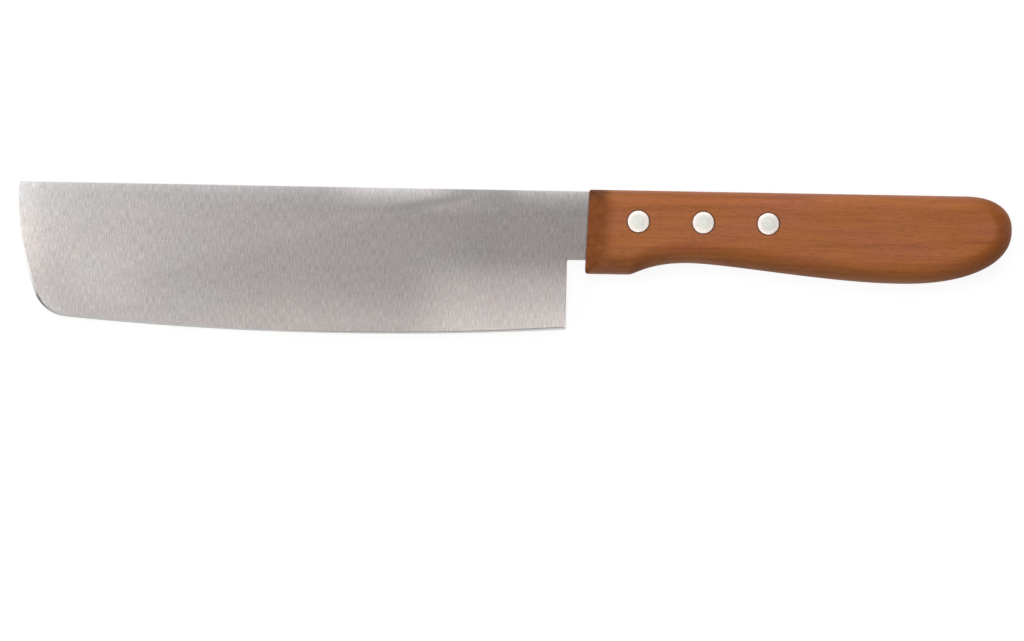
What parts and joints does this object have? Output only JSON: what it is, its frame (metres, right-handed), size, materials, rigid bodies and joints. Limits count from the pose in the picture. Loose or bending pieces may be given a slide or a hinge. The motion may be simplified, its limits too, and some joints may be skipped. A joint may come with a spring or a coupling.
{
  "type": "nakiri knife",
  "caption": "Vegetable knife with a tall straight-spined blade, rounded at the front, and a riveted one-piece wooden handle.",
  "frame": {"origin": "middle of the bounding box's base, with the knife lying on its side; the base is the plane of the handle's lower side face", "axes": "+X from the blade's front to the butt, +Y from the cutting edge to the spine, +Z out of the blade's upper face; the blade's middle plane is horizontal"},
  "size_m": [0.2996, 0.0446, 0.017],
  "materials": {
    "blade_steel": "fine satin grind, its scratches running from the spine to the edge",
    "handle_wood": "smooth oiled reddish brown hardwood, grain along the handle",
    "rivet_aluminium": "ground flush with the wood, bright and slightly matt"
  },
  "bodies": {
    "root": {"blade": "blade_steel", "handle": "handle_wood", "rivet_front_male": "rivet_aluminium", "rivet_front_female": "rivet_aluminium", "rivet_middle_male": "rivet_aluminium", "rivet_middle_female": "rivet_aluminium", "rivet_rear_male": "rivet_aluminium", "rivet_rear_female": "rivet_aluminium"}
  },
  "joints": []
}
